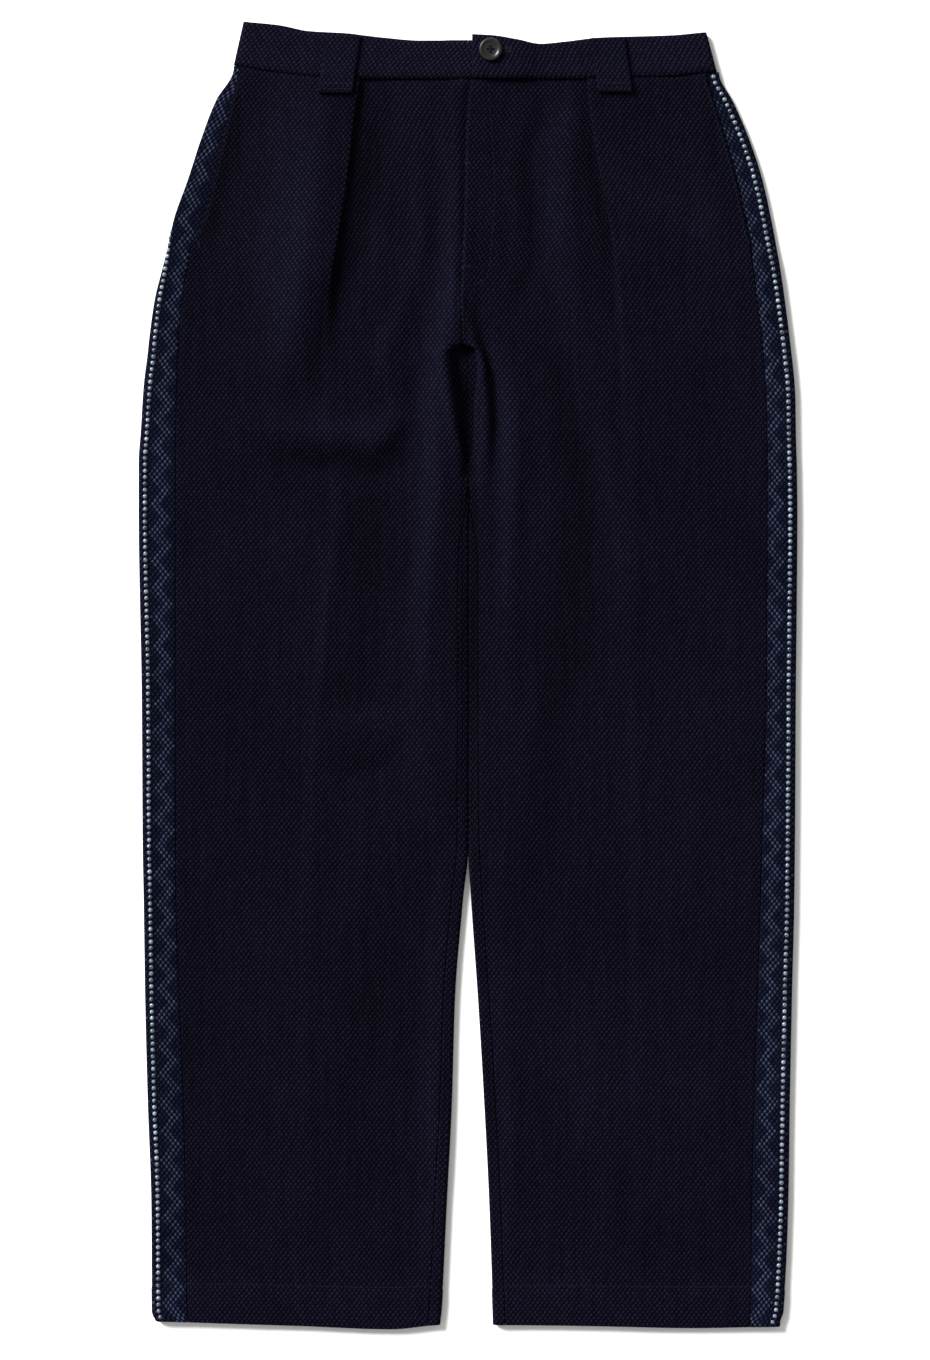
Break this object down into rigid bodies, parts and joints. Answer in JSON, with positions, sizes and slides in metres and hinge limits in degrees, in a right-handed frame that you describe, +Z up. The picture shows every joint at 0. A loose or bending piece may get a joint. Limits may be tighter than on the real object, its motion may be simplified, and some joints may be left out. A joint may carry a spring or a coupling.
{
  "type": "fireman trousers",
  "caption": "Wide-legged fireman trousers of indigo sashiko cotton with contrasting side bands, pleats, belt loops and a buttoned waistband, laid flat.",
  "frame": {"origin": "middle of the outline, on the surface that the trousers lie on", "axes": "+X to the wearer's left, +Y to the waist, +Z up from the surface, with the front of the trousers up"},
  "size_m": [0.5198, 1.0315, 0.014],
  "materials": {
    "indigo_cotton": "matte sashiko weave, nearly black navy",
    "blue_band_cotton": "matte sashiko weave, faded indigo with a light zigzag",
    "thread": "twisted cotton thread",
    "beads": "polished domed studs",
    "button": "polished dark horn-like resin"
  },
  "bodies": {
    "root": {"front_right": "indigo_cotton", "front_left": "indigo_cotton", "back_right": "indigo_cotton", "back_left": "indigo_cotton", "side_band_right": "blue_band_cotton", "side_band_left": "blue_band_cotton", "waistband_right": "indigo_cotton", "waistband_left": "indigo_cotton", "belt_loop_front_right": "indigo_cotton", "belt_loop_front_left": "indigo_cotton", "belt_loop_back_right": "indigo_cotton", "belt_loop_back_centre": "indigo_cotton", "belt_loop_back_left": "indigo_cotton", "button": "button"}
  },
  "joints": []
}
